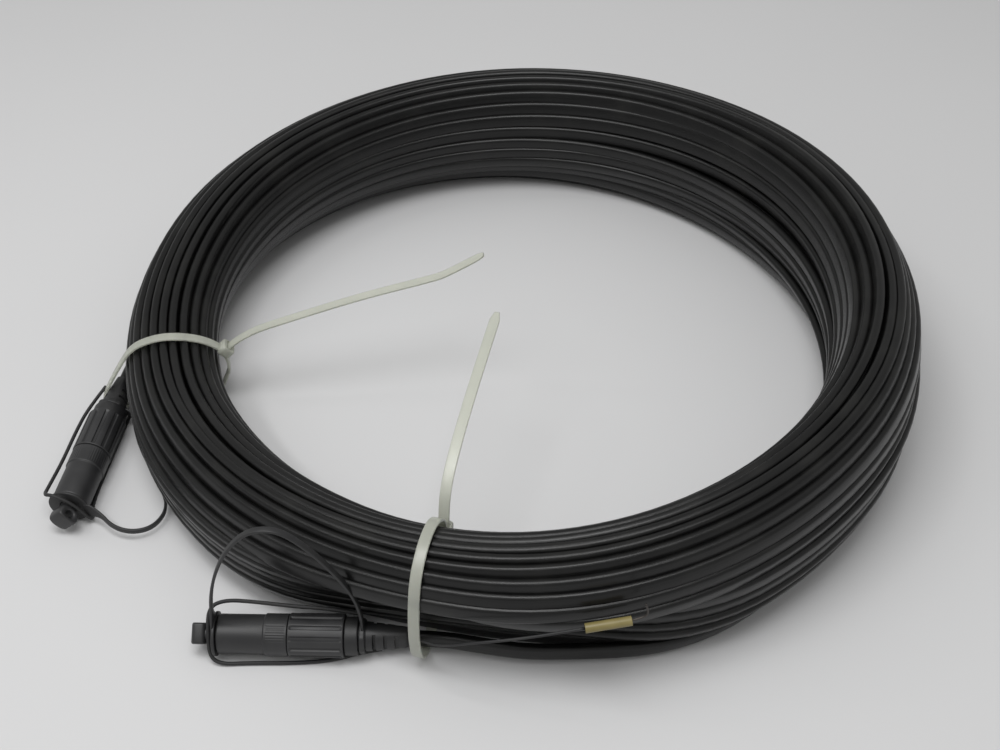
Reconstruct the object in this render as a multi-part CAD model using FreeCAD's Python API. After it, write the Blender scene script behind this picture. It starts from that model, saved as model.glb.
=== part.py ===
import FreeCAD, Part
import math
import os

from FreeCAD import Placement, Rotation, Vector

# Fibre drop cable assembly: a tied coil of flat drop cable with a capped, hardened plug on each end.
# Millimetres, +Z up, origin on the coil's axis at the surface that it lies on.

# Flat drop cable
cable_width = 8.1
cable_thickness = 4.4

# Coil of cable: a heap of turns, level at its foot, with a top that leans and is drawn down at the second tie
coil_radius = 170.0
coil_width = 48.0
coil_height = 72.0
coil_top_tilt = 5.14
coil_tilt_azimuth = 16.6
coil_waist_fall = 12.0
coil_waist_spread = 45.0
coil_foot_inset = 10.0
coil_foot_rise = 18.0
coil_top_inset = 13.0
coil_top_fall = 20.0
coil_sides = 40

# Dust cap with its pulling knob
knob_width = 10.0
knob_thickness = 7.2
knob_length = 6.4
knob_bevel = 1.6
pull_eye_diameter = 4.0
neck_diameter = 7.6
neck_length = 4.8
cap_diameter = 17.0
cap_body_length = 20.0
cap_end_wall = 3.0
collar_diameter = 18.0
collar_length = 10.0

# Coupling nut
nut_diameter = 18.6
nut_length = 23.4
thread_diameter = 14.4
thread_length = 8.6
grip_groove_count = 12
grip_groove_width = 1.7
grip_groove_depth = 0.7

# Plug: shroud and the inner connector with its ferrule
shroud_diameter = 12.0
shroud_wall = 0.8
shroud_front_gap = 2.0
shroud_sleeve_diameter = 10.8
inner_width = 6.6
inner_height = 7.7
inner_length = 9.6
inner_setback = 3.0
inner_chamfer = 0.6
ferrule_diameter = 2.5
ferrule_stand_out = 1.6

# Cable boot
boot_head_diameter = 16.3
boot_head_length = 5.6
boot_seat_diameter = 12.0
boot_seat_length = 3.4
boot_taper_diameter = 12.6
boot_taper_length = 17.4
boot_tip_wall = 0.9
boot_bevel_share = 0.55
boot_slot_count = 3
boot_slot_width = 1.5
boot_slot_pitch = 4.7
boot_slot_first = 2.6
boot_slot_web = 0.8

# Moulded strap that keeps the cap with the plug
strap_width = 3.2
strap_thickness = 1.3
strap_ring_diameter = 19.0
strap_ring_thickness = 1.4
strap_tail_ring_diameter = 15.0
strap_tail_ring_thickness = 2.4
strap_ring_sides = 18

# Thin pull cord looped round the neck of the cap
pull_cord_diameter = 1.7

# Cable ties
tie_width = 4.8
tie_thickness = 1.3
tie_tail_thickness = 1.1
tie_head_length = 7.2
tie_head_width = 7.4
tie_head_height = 5.6
tie_head_chamfer = 0.8
tie_tip_taper = 12.0

# Tone wire drawn out of the cable, with its sleeve and bare end
tone_wire_diameter = 1.2
tone_sleeve_diameter = 4.0
tone_sleeve_length = 18.6
tone_tip_diameter = 0.9

# Clearances
thread_clearance = 0.06
running_clearance = 0.08
seat_clearance = 0.05
free_clearance = 0.3
nest_clearance = 3.2
tie_bite = 0.4
wall_clearance = 1.2
flatness = 1e-8

# Azimuths of the two ties. Each plug lies beside its tie, and is placed from there:
# out from the coil's middle line, along the tangent, and up.
tie_a_azimuth = 256.3
tie_b_azimuth = 187.0
plug_height = 9.8
plug_a_place = (27.66, -96.02, plug_height)
plug_a_azimuth = -1.25
plug_a_strap_roll = 0.0
plug_a_eye_roll = 35.0
plug_b_place = (51.92, 82.57, plug_height)
plug_b_azimuth = 83.7
plug_b_strap_roll = 97.0
plug_b_eye_roll = -40.0

# Stations along a plug, from the tip of the knob
neck_start = knob_length
cap_start = neck_start + neck_length
collar_start = cap_start + cap_body_length
cap_end = collar_start + collar_length
nut_start = cap_end + free_clearance
nut_end = nut_start + nut_length
thread_start = nut_start - thread_length
boot_start = nut_end + free_clearance
boot_seat_start = boot_start + boot_head_length
boot_taper_start = boot_seat_start + boot_seat_length
boot_end = boot_taper_start + boot_taper_length
cap_bore_start = cap_start + cap_end_wall
shroud_start = cap_bore_start + shroud_front_gap
shroud_shoulder = thread_start - free_clearance
inner_start = shroud_start + inner_setback
inner_end = inner_start + inner_length
cable_start = boot_start

# Routes are lists of points chosen by hand. Strap routes: along the plug, and out from its axis.
strap_a_route = [(9.8, 7.0), (10.2, 20.0), (15.0, 41.0), (23.0, 59.0), (33.0, 70.0), (44.0, 70.6), (53.5, 61.0),
                 (63.0, 46.0), (70.4, 30.0), (72.8, 15.0), (72.7, 6.6)]
strap_b_route = [(9.8, 7.0), (9.3, 14.0), (2.0, 23.0), (1.0, 33.0), (6.5, 41.5), (19.0, 44.0), (34.0, 34.2),
                 (50.0, 21.5), (64.0, 13.8), (72.2, 11.2), (72.7, 6.9)]

# Pull cord routes in a plug's own frame: along the plug, across it and above its axis
pull_cord_a_route = [(86.0, -4.8, -5.6), (76.0, -5.8, -7.8), (58.0, -7.8, -8.6), (26.0, -8.6, -8.7),
                     (13.0, -11.6, -7.8), (7.8, -8.4, -4.0), (7.7, -4.2, 4.6), (7.6, 4.6, 12.6), (15.0, 7.6, 10.8),
                     (30.0, 7.6, 8.7), (56.0, 8.5, 7.4), (72.0, 6.8, 6.4)]
pull_cord_b_route = [(78.0, -5.6, -8.8), (50.0, -5.7, -8.9), (18.0, -5.8, -8.8), (8.9, -10.2, -8.4),
                     (7.6, -6.6, 0.5), (7.6, -1.0, 6.6), (7.7, 7.4, 11.2), (16.0, 10.8, 6.6), (28.0, 10.6, 2.0),
                     (66.0, 10.6, 0.3), (80.0, 7.0, 0.8)]

# Cable ends, from clear of the boot into the coil, placed as the plugs are
cable_clear_length = 12.0
cable_a_route = [(3.14, 27.8, 10.6), (-2.46, 49.08, 11.4)]
cable_b_route = [(20.53, -38.51, 9.9), (8.76, -57.21, 10.6), (-5.15, -73.64, 11.6)]

# Tone wire along the outer wall of the coil, by azimuth and height
tone_wire_route = [(-104.6, 25.0), (-101.0, 37.5), (-94.0, 45.0), (-83.1, 49.6)]
tone_sleeve_rise = 6.0
tone_tip_route = [(0.0, 0.0, 0.0), (6.2, 0.2, 1.4), (4.6, 0.3, 7.4)]

# Ties, in their own upright planes: out from the coil's middle line, and the height above the foot or,
# where the third number is 1, above the coil's top
tie_a_loop = [(-18.0, 0.85, 0), (9.0, 0.85, 0), (18.6, 16.0, 0), (18.0, -12.3, 1), (4.0, 2.1, 1), (-14.0, 1.3, 1),
              (-25.8, -17.0, 1), (-25.4, 12.0, 0)]
tie_a_tail = [(-28.4, -24.0, 1), (-30.2, -6.0, 1), (-39.0, 5.6, 1), (-58.0, 13.1, 1), (-90.0, 17.1, 1),
              (-124.0, 17.6, 1)]
tie_b_loop = [(-18.0, 0.85, 0), (34.6, 0.85, 0), (42.4, 10.6, 0), (26.6, -9.9, 1), (10.0, 0.3, 1), (-12.0, 0.1, 1),
              (-23.4, -14.9, 1), (-22.8, 9.0, 0)]
tie_b_tail = [(-20.0, -5.9, 1), (-34.0, 3.5, 1), (-94.0, 17.3, 1), (-131.4, 24.1, 1), (-152.4, 35.7, 1)]


def turned(profile):
    """A solid turned about the plug's axis from points given as station and radius."""
    points = [Vector(station, radius, 0) for station, radius in profile]
    face = Part.Face(Part.makePolygon(points + points[:1]))
    return face.revolve(Vector(0, 0, 0), Vector(1, 0, 0), 360)


def corner(before, at, after):
    """The tangent arc at a point of a route: its start, middle and end, the way along it there, its radius."""
    back = (before - at).normalize()
    ahead = (after - at).normalize()
    trim = 0.45 * min((before - at).Length, (after - at).Length)
    half = back.getAngle(ahead) / 2
    radius = trim * math.tan(half)
    inward = (back + ahead).normalize()
    middle = at + inward * (radius / math.sin(half) - radius)
    return {"points": [at + back * trim, middle, at + ahead * trim],
            "ways": [back * -1, (ahead - back).normalize(), ahead],
            "radius": radius}


def corners(points, closed=False):
    count = len(points)
    if closed:
        return [corner(points[i - 1], points[i], points[(i + 1) % count]) for i in range(count)]
    return [corner(points[i - 1], points[i], points[i + 1]) for i in range(1, count - 1)]


def swept(points, section, name):
    """A section carried along a route: each run drawn out straight, each arc turned about its own axis."""
    face = Part.Face(section)
    area = face.Area
    solids = []
    radii = []
    length = 0.0
    last = points[0]
    for arc in corners(points):
        start, middle, end = arc["points"]
        run = start - last
        solids.append(face.extrude(run))
        face = face.translated(run)
        turn_axis = arc["ways"][0].cross(arc["ways"][2]).normalize()
        turn = arc["ways"][0].getAngle(arc["ways"][2])
        centre = start + turn_axis.cross(arc["ways"][0]) * arc["radius"]
        solids.append(face.revolve(centre, turn_axis, math.degrees(turn)))
        face = face.rotated(centre, turn_axis, math.degrees(turn))
        length += run.Length + turn * arc["radius"]
        radii.append(round(arc["radius"], 1))
        last = end
    solids.append(face.extrude(points[-1] - last))
    length += (points[-1] - last).Length
    solid = solids[0].multiFuse(solids[1:]).removeSplitter()
    print(name, "length", round(length, 1), "volume ratio", round(solid.Volume / (area * length), 4), "radii", radii)
    return solid


def cord_section(centre, way, diameter):
    """A cord's outline across the way that it runs."""
    sides = 5
    side = way.cross(Vector(0, 0, 1)).normalize()
    up = side.cross(way).normalize()
    angles = [2 * math.pi * i / sides for i in range(sides)]
    points = [centre + (side * math.cos(a) + up * math.sin(a)) * (diameter / 2) for a in angles]
    return Part.makePolygon(points + points[:1])


def cord(points, diameter, name):
    way = (points[1] - points[0]).normalize()
    return swept(points, cord_section(points[0], way, diameter), name)


def bevelled_points(centre, way, tall, thick, bevel):
    """Corners of an upright oblong with bevelled edges, across the way given."""
    side = way.cross(Vector(0, 0, 1)).normalize()
    up = side.cross(way).normalize()
    x = thick / 2
    z = tall / 2
    outline = [(x, bevel - z), (x, z - bevel), (x - bevel, z), (bevel - x, z),
               (-x, z - bevel), (-x, bevel - z), (bevel - x, -z), (x - bevel, -z)]
    return [centre + side * a + up * b for a, b in outline]


def bevelled_section(centre, way, tall, thick, bevel):
    points = bevelled_points(centre, way, tall, thick, bevel)
    return Part.makePolygon(points + points[:1])


def cable_section(centre, way):
    """The flat cable's outline, standing on edge."""
    return bevelled_section(centre, way, cable_width, cable_thickness, cable_thickness * 0.3)


def stacked_solid(outlines):
    """A closed solid of flat sides between outlines of matching points, with its ends closed."""
    faces = []
    for low, high in zip(outlines, outlines[1:]):
        for i in range(len(low)):
            j = (i + 1) % len(low)
            faces.append(Part.Face(Part.makePolygon([low[i], low[j], high[j], high[i], low[i]])))
    for outline in (outlines[0], outlines[-1]):
        faces.append(Part.Face(Part.makePolygon(outline + outline[:1])))
    return Part.makeSolid(Part.makeShell(faces))


def offset_edges(points, normal, shift):
    """A flat route's runs and arcs, moved sideways in its plane."""
    edges = []
    first_way = (points[1] - points[0]).normalize()
    last_way = (points[-1] - points[-2]).normalize()
    last = points[0] + normal.cross(first_way) * shift
    for arc in corners(points):
        moved = [p + normal.cross(w) * shift for p, w in zip(arc["points"], arc["ways"])]
        edges.append(Part.LineSegment(last, moved[0]).toShape())
        edges.append(Part.Arc(*moved).toShape())
        last = moved[2]
    end = points[-1] + normal.cross(last_way) * shift
    edges.append(Part.LineSegment(last, end).toShape())
    return edges, points[0] + normal.cross(first_way) * shift, end


def flat_band(points, thickness, width):
    """A strap that bends only in the XZ plane: its thickness lies in that plane, its width across it."""
    normal = Vector(0, 1, 0)
    left, left_start, left_end = offset_edges(points, normal, thickness / 2)
    right, right_start, right_end = offset_edges(points, normal, -thickness / 2)
    ends = [Part.LineSegment(left_start, right_start).toShape(), Part.LineSegment(left_end, right_end).toShape()]
    outline = Part.Wire(Part.__sortEdges__(left + right + ends))
    band = Part.Face(outline).extrude(normal * width)
    band.translate(normal * (-width / 2))
    return band


def loop_face(points, shift):
    """The inside of a closed loop of runs and arcs in the XZ plane, grown outward by a shift."""
    normal = Vector(0, 1, 0)
    edges = []
    moved = [[p + normal.cross(w) * shift for p, w in zip(arc["points"], arc["ways"])]
             for arc in corners(points, closed=True)]
    for i, arc in enumerate(moved):
        edges.append(Part.LineSegment(moved[i - 1][2], arc[0]).toShape())
        edges.append(Part.Arc(*arc).toShape())
    return Part.Face(Part.Wire(edges))


def extruded_across(face, width):
    solid = face.extrude(Vector(0, width, 0))
    solid.translate(Vector(0, -width / 2, 0))
    return solid


def dust_cap(eye_roll):
    """Pulling knob with its eye, a neck for strap and cord, and a hollow body that screws on the nut."""
    neck = neck_diameter / 2
    body = cap_diameter / 2
    collar = collar_diameter / 2
    bore = thread_diameter / 2 + thread_clearance
    along = Vector(1, 0, 0)
    outline = bevelled_section(Vector(0, 0, 0), along, knob_width, knob_thickness, knob_bevel)
    knob = Part.Face(outline).extrude(along * knob_length)
    reach = knob_thickness
    eye = Part.makeCylinder(pull_eye_diameter / 2, 2 * reach, Vector(knob_length / 2, -reach, 0), Vector(0, 1, 0))
    shell = turned([(neck_start, 0), (neck_start, neck), (cap_start, neck), (cap_start, body), (collar_start, body),
                    (collar_start, collar), (cap_end, collar), (cap_end, bore), (cap_bore_start, bore),
                    (cap_bore_start, 0)])
    cap = shell.fuse(knob.cut(eye)).removeSplitter()
    cap.rotate(Vector(0, 0, 0), along, eye_roll)
    return cap


def grip_section():
    """The nut's outline: flat-topped ribs parted by grooves."""
    rib = nut_diameter / 2
    floor = rib - grip_groove_depth
    pitch = 2 * math.pi / grip_groove_count
    half_rib = pitch / 2 - grip_groove_width / 2 / rib
    points = []
    for i in range(grip_groove_count):
        for radius, angle in ((floor, -half_rib), (rib, -half_rib), (rib, half_rib), (floor, half_rib)):
            turn = i * pitch + angle
            points.append(Vector(nut_start, radius * math.cos(turn), radius * math.sin(turn)))
    return Part.makePolygon(points + points[:1])


def coupling_nut():
    """Ribbed grip and a threaded nose, free to turn on the shroud's barrel."""
    bore = shroud_sleeve_diameter / 2 + running_clearance
    axis = Vector(1, 0, 0)
    grip = Part.Face(grip_section()).extrude(axis * nut_length)
    nose = Part.makeCylinder(thread_diameter / 2, thread_length, Vector(thread_start, 0, 0), axis)
    hole = Part.makeCylinder(bore, nut_end - thread_start, Vector(thread_start, 0, 0), axis)
    return grip.fuse(nose).cut(hole).removeSplitter()


def plug_shroud():
    """Plug body: tubular nose with a shoulder that keeps the nut, and the barrel that the nut turns on."""
    nose = shroud_diameter / 2
    sleeve = shroud_sleeve_diameter / 2
    bore = nose - shroud_wall
    return turned([(shroud_start, bore), (shroud_start, nose), (shroud_shoulder, nose), (shroud_shoulder, sleeve),
                   (cable_start, sleeve), (cable_start, 0), (inner_end, 0), (inner_end, bore)])


def inner_connector():
    """Push-fit connector inside the shroud, with its ferrule standing out at the front."""
    body = Part.makeBox(inner_length, inner_width, inner_height)
    body.translate(Vector(inner_start, -inner_width / 2, -inner_height / 2))
    front = [edge for edge in body.Edges if max(v.X for v in edge.Vertexes) < inner_start + seat_clearance]
    body = body.makeChamfer(inner_chamfer, front)
    start = Vector(inner_start - ferrule_stand_out, 0, 0)
    tip = Part.makeCylinder(ferrule_diameter / 2, ferrule_stand_out, start, Vector(1, 0, 0))
    return body.fuse(tip).removeSplitter()


def boot():
    """Soft boot: round head, a seat for the strap's ring, and a slotted taper down to the flat cable."""
    head = boot_head_diameter / 2
    seat = boot_seat_diameter / 2
    wide = boot_taper_diameter / 2
    along = Vector(1, 0, 0)
    shell = turned([(boot_start, 0), (boot_start, head), (boot_seat_start, head), (boot_seat_start, seat),
                    (boot_taper_start, seat), (boot_taper_start, 0)])
    tip_tall = cable_width + 2 * boot_tip_wall
    tip_thick = cable_thickness + 2 * boot_tip_wall
    first = bevelled_points(Vector(boot_taper_start, 0, 0), along, 2 * wide, 2 * wide, wide * boot_bevel_share)
    last = bevelled_points(Vector(boot_end, 0, 0), along, tip_tall, tip_thick, tip_thick / 2 * boot_bevel_share)
    taper = stacked_solid([first, last])
    web = cable_thickness / 2 + boot_slot_web
    for side in (-1, 1):
        for i in range(boot_slot_count):
            slot = Part.makeBox(boot_slot_width, wide, 2 * wide)
            start = boot_taper_start + boot_slot_first + i * boot_slot_pitch
            slot.translate(Vector(start, side * (web + wide / 2) - wide / 2, -wide))
            taper = taper.cut(slot)
    cable = Part.Face(cable_section(Vector(cable_start, 0, 0), along)).extrude(along * (boot_end - cable_start))
    return shell.fuse(taper).cut(cable).removeSplitter()


def strap_ring(start, thickness, diameter, hole):
    """An eye of the strap: a many-sided ring about the plug's axis."""
    angles = [2 * math.pi * i / strap_ring_sides for i in range(strap_ring_sides)]
    faces = []
    for radius in (diameter / 2, hole / 2 / math.cos(math.pi / strap_ring_sides)):
        points = [Vector(start, radius * math.cos(a), radius * math.sin(a)) for a in angles]
        faces.append(Part.Face(Part.makePolygon(points + points[:1])))
    return faces[0].cut(faces[1]).extrude(Vector(thickness, 0, 0))


def cap_strap(route, roll):
    """Moulded strap: a ring loose on the cap's neck, a flat band, and a ring tight on the boot's seat."""
    neck_ring_start = cap_start - strap_ring_thickness - free_clearance
    seat_ring_start = boot_seat_start + (boot_seat_length - strap_tail_ring_thickness) / 2
    neck_ring = strap_ring(neck_ring_start, strap_ring_thickness, strap_ring_diameter,
                           neck_diameter + 2 * free_clearance)
    seat_ring = strap_ring(seat_ring_start, strap_tail_ring_thickness, strap_tail_ring_diameter,
                           boot_seat_diameter + 2 * seat_clearance)
    band = flat_band([Vector(u, 0, v) for u, v in route], strap_thickness, strap_width)
    strap = band.fuse([neck_ring, seat_ring]).removeSplitter()
    strap.rotate(Vector(0, 0, 0), Vector(1, 0, 0), roll)
    return strap


def beside_coil(azimuth, place):
    """A point by its place out from the coil's middle line at an azimuth, along the tangent, and up."""
    out, along, up = place
    return Rotation(Vector(0, 0, 1), azimuth).multVec(Vector(coil_radius + out, along, up))


def plug_placement(end):
    if end == "a":
        return Placement(beside_coil(tie_a_azimuth, plug_a_place), Rotation(Vector(0, 0, 1), plug_a_azimuth))
    return Placement(beside_coil(tie_b_azimuth, plug_b_place), Rotation(Vector(0, 0, 1), plug_b_azimuth))


def on_plug(shape, placement):
    moved = shape.copy()
    moved.Placement = placement.multiply(moved.Placement)
    return moved


def cable_end(placement, route, coil, name):
    """Flat cable from inside the boot to the coil that it is part of, where the two meet face to face."""
    start = placement.multVec(Vector(cable_start, 0, 0))
    clear = placement.multVec(Vector(boot_end + cable_clear_length, 0, 0))
    way = (clear - start).normalize()
    whole = swept([start, clear] + route, cable_section(start, way), name)
    return whole.cut(coil).Solids[0]


def top_lean(azimuth):
    """How much the coil's top rises per millimetre of radius at an azimuth."""
    return math.tan(math.radians(coil_top_tilt)) * math.cos(math.radians(azimuth - coil_tilt_azimuth))


def waist_fall(azimuth):
    """How far the second tie draws the coil's top down at an azimuth."""
    gap = (azimuth - tie_b_azimuth + 180) % 360 - 180
    return coil_waist_fall * math.exp(-(gap / coil_waist_spread) ** 2)


def top_height(azimuth):
    """How high the turns are heaped at an azimuth."""
    return coil_height + coil_radius * top_lean(azimuth) - waist_fall(azimuth)


def coil_outline(azimuth):
    """The coil's section at an azimuth: sloping foot, upright walls, and shoulders up to a leaning top."""
    half = coil_width / 2
    angle = math.radians(azimuth)
    foot = half - coil_foot_inset
    top = half - coil_top_inset
    points = []
    for inset, base, rises in ((foot, 0, 0), (half, coil_foot_rise, 0), (half, coil_height - coil_top_fall, 1),
                               (top, coil_height, 1), (-top, coil_height, 1),
                               (-half, coil_height - coil_top_fall, 1), (-half, coil_foot_rise, 0), (-foot, 0, 0)):
        radius = coil_radius + inset
        height = base + rises * (radius * top_lean(azimuth) - waist_fall(azimuth))
        points.append(Vector(radius * math.cos(angle), radius * math.sin(angle), height))
    return points


def wall_radius(azimuth, height):
    """How far out the coil's outer wall is, at an azimuth and a height."""
    half = coil_width / 2
    below_top = top_height(azimuth) - height
    at_foot = half - coil_foot_inset * max(0, 1 - height / coil_foot_rise)
    at_top = half - coil_top_inset * max(0, 1 - below_top / coil_top_fall)
    return coil_radius + min(half, at_foot, at_top)


def plug_nest(placement, strap_roll):
    """The room that the turns leave for a plug that lies against them, and for its strap above."""
    wide = nut_diameter / 2 + nest_clearance
    start = -2 * neck_start
    length = boot_end - start
    barrel = Part.makeCylinder(wide, length, Vector(start, 0, 0), Vector(1, 0, 0))
    behind = strap_width / 2 + wall_clearance
    above = Part.makeBox(length, coil_width, coil_height, Vector(start, behind - coil_width, 0))
    above.rotate(Vector(0, 0, 0), Vector(1, 0, 0), strap_roll)
    return on_plug(barrel.fuse(above), placement)


def in_tie_plane(shape, azimuth):
    """Turns a shape from the XZ plane to the tie's upright plane through the coil's axis."""
    shape.rotate(Vector(0, 0, 0), Vector(0, 0, 1), azimuth)
    return shape


def tie_points(places, azimuth):
    """Points in a tie's plane, with heights above the coil's top where they follow it."""
    return [Vector(coil_radius + out, 0, height + follows_top * top_height(azimuth))
            for out, height, follows_top in places]


def tie_groove(loop, azimuth):
    """What a tie takes out of the coil's outline: everything outside its loop, over its width."""
    width = tie_width + 2 * tie_bite
    reach = Part.makeBox(2 * coil_width, width, 3 * coil_height)
    reach.translate(Vector(coil_radius - coil_width, -width / 2, -coil_height))
    inside = extruded_across(loop_face(tie_points(loop, azimuth), -tie_thickness / 2 - free_clearance), width)
    return in_tie_plane(reach.cut(inside), azimuth)


def flat_faces(a, b, c, d):
    """One flat face through four corners, or two where they don't lie in one plane."""
    off = abs((b - a).cross(c - a).normalize().dot(d - a))
    outlines = [[a, b, c, d]] if off < flatness else [[a, b, c], [a, c, d]]
    return [Part.Face(Part.makePolygon(points + points[:1])) for points in outlines]


def cable_coil():
    """The outer shape of the coil, with room for a plug that lies against it, and the ties' grooves."""
    outlines = [coil_outline(360 * i / coil_sides) for i in range(coil_sides)]
    faces = []
    for i, outline in enumerate(outlines):
        after = outlines[(i + 1) % coil_sides]
        for j in range(len(outline)):
            k = (j + 1) % len(outline)
            faces += flat_faces(outline[j], outline[k], after[k], after[j])
    coil = Part.makeSolid(Part.makeShell(faces))
    coil = coil.cut(plug_nest(plug_placement("a"), plug_a_strap_roll))
    for loop, azimuth in ((tie_a_loop, tie_a_azimuth), (tie_b_loop, tie_b_azimuth)):
        coil = coil.cut(tie_groove(loop, azimuth))
    return coil.removeSplitter()


def cable_tie(loop, tail, azimuth):
    """One-piece tie: a strap closed round the bundle, its locking head, and the loose tail."""
    points = tie_points(loop, azimuth)
    outside = loop_face(points, tie_thickness / 2)
    strap = extruded_across(outside.cut(loop_face(points, -tie_thickness / 2)), tie_width)
    tail_points = tie_points(tail, azimuth)
    loose = flat_band(tail_points, tie_tail_thickness, tie_width)
    way = (tail_points[-1] - tail_points[-2]).normalize()
    for side in (-1, 1):
        wedge = Part.makePolygon([Vector(-tie_tip_taper, side * tie_width / 2, -tie_width),
                                  Vector(tie_thickness, side * tie_width / 2, -tie_width),
                                  Vector(tie_thickness, side * tie_width / 6, -tie_width),
                                  Vector(-tie_tip_taper, side * tie_width / 2, -tie_width)])
        cutter = Part.Face(wedge).extrude(Vector(0, 0, 2 * tie_width))
        cutter.Placement = Placement(tail_points[-1], Rotation(Vector(1, 0, 0), way))
        loose = loose.cut(cutter)
    block = Part.makeBox(tie_head_height, tie_head_width, tie_head_length)
    block.translate(Vector(-tie_head_height / 2, -tie_head_width / 2, -tie_head_length / 2))
    along_width = [e for e in block.Edges if abs(e.Vertexes[0].Y - e.Vertexes[1].Y) > tie_head_width / 2]
    block = block.makeChamfer(tie_head_chamfer, along_width)
    first_way = (tail_points[1] - tail_points[0]).normalize()
    block.Placement = Placement(tail_points[0], Rotation(Vector(1, 0, 0), first_way))
    return in_tie_plane(strap.fuse([loose, block]).removeSplitter(), azimuth)


def on_wall(azimuth, height, stand_off):
    """A point beside the coil's outer wall."""
    angle = math.radians(azimuth)
    radius = wall_radius(azimuth, height) + stand_off
    return Vector(radius * math.cos(angle), radius * math.sin(angle), height)


def tone_wire_parts():
    """The tone wire on the coil's outer wall, its sleeve, and the bare hooked end."""
    last_azimuth, last_height = tone_wire_route[-1]
    points = [on_wall(azimuth, height, tone_wire_diameter / 2 + wall_clearance)
              for azimuth, height in tone_wire_route[:-1]]
    points.append(on_wall(last_azimuth, last_height, tone_sleeve_diameter / 2 + seat_clearance))
    wire = cord(points, tone_wire_diameter, "tone_wire")
    lie = Rotation(Vector(0, 0, 1), last_azimuth + 90).multiply(Rotation(Vector(0, 1, 0), -tone_sleeve_rise))
    sleeve = Part.makeCylinder(tone_sleeve_diameter / 2, tone_sleeve_length, Vector(0, 0, 0), Vector(1, 0, 0))
    sleeve.Placement = Placement(points[-1], lie)
    end = Placement(points[-1], lie).multVec(Vector(tone_sleeve_length, 0, 0))
    tip_points = [Placement(end, lie).multVec(Vector(*place)) for place in tone_tip_route]
    tip = cord(tip_points, tone_tip_diameter, "tone_wire_tip")
    return {"tone_wire": wire.cut(sleeve), "tone_wire_sleeve": sleeve, "tone_wire_tip": tip.cut(sleeve)}


def plug_parts(end, eye_roll, strap_route, strap_roll, cord_route, cable_route, coil):
    placement = plug_placement(end)
    pieces = {
        "dust_cap": dust_cap(eye_roll),
        "coupling_nut": coupling_nut(),
        "plug_shroud": plug_shroud(),
        "inner_connector": inner_connector(),
        "boot": boot(),
        "cap_strap": cap_strap(strap_route, strap_roll),
        "pull_cord": cord([Vector(*place) for place in cord_route], pull_cord_diameter, "pull_cord_" + end),
    }
    parts = {name + "_" + end: on_plug(shape, placement) for name, shape in pieces.items()}
    parts["cable_end_" + end] = cable_end(placement, cable_route, coil, "cable_end_" + end)
    return parts


def main():
    os.makedirs("parts", exist_ok=True)
    coil = cable_coil()
    parts = {"cable_coil": coil}
    end_a_route = [beside_coil(tie_a_azimuth, place) for place in cable_a_route]
    end_b_route = [beside_coil(tie_b_azimuth, place) for place in cable_b_route]
    parts.update(plug_parts("a", plug_a_eye_roll, strap_a_route, plug_a_strap_roll, pull_cord_a_route, end_a_route,
                            coil))
    parts.update(plug_parts("b", plug_b_eye_roll, strap_b_route, plug_b_strap_roll, pull_cord_b_route, end_b_route,
                            coil))
    parts["cable_tie_a"] = cable_tie(tie_a_loop, tie_a_tail, tie_a_azimuth)
    parts["cable_tie_b"] = cable_tie(tie_b_loop, tie_b_tail, tie_b_azimuth)
    parts.update(tone_wire_parts())
    for name, shape in parts.items():
        shape.exportStep("parts/" + name + ".step")
        print(name, "solids", len(shape.Solids), "valid", shape.isValid(), "volume", round(shape.Volume, 1))


main()
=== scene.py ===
# %% [markdown]
# A fibre drop cable is a long flat outdoor lead with a sealed plug on each end. It is sold wound into
# a heavy ring, held by two nylon ties. The solids come from the packed frame, in metres, and this lesson
# dresses them: first the camera and the long cable, then the plugs, the small cords and the ties.

# %% Load the frame
import math

import bmesh
import bpy
import numpy as np
from mathutils import Matrix, Vector


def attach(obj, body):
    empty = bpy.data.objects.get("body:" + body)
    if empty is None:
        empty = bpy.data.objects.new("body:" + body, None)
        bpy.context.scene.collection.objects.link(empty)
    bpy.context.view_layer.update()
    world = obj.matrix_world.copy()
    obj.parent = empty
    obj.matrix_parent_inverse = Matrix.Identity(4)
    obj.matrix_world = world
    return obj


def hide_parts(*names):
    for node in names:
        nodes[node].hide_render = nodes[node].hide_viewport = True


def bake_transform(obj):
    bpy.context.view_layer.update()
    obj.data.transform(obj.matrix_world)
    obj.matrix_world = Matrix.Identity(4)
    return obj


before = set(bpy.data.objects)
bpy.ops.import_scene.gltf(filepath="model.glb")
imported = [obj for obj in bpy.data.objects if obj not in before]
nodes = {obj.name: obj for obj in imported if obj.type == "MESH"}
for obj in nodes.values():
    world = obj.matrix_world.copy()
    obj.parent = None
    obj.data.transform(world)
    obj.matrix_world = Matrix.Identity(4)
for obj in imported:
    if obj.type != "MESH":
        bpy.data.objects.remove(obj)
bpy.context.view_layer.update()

mm = 0.001

# %% [markdown]
# The photograph looks down at the ring from the front, at a little under half a right angle. A camera in
# Blender looks along its own -Z, so a turn about X alone aims it: a right angle less the angle of view
# looks down by that angle. The lens gives the ring the same depth that it has in the picture.

# %% Camera
scene = bpy.context.scene
camera_lens = 47.64
camera_sensor = 36.0
camera_place = Vector((-9.6, -495.3, 481.1)) * mm
look_down = math.radians(44.29)
lens = bpy.data.cameras.new("camera")
lens.lens = camera_lens
lens.sensor_width = camera_sensor
camera = bpy.data.objects.new("camera", lens)
camera.location = camera_place
camera.rotation_euler = (math.pi / 2 - look_down, 0, 0)
scene.collection.objects.link(camera)
scene.camera = camera
scene.view_settings.view_transform = "Standard"
print("camera at", [round(x, 3) for x in camera_place])

# %% [markdown]
# Materials are written as sums. This class holds one socket of a material, and its operators add Math
# nodes, so that 0.3 + 0.1 * mask means what it says. Any other node comes from one method, add.

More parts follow.
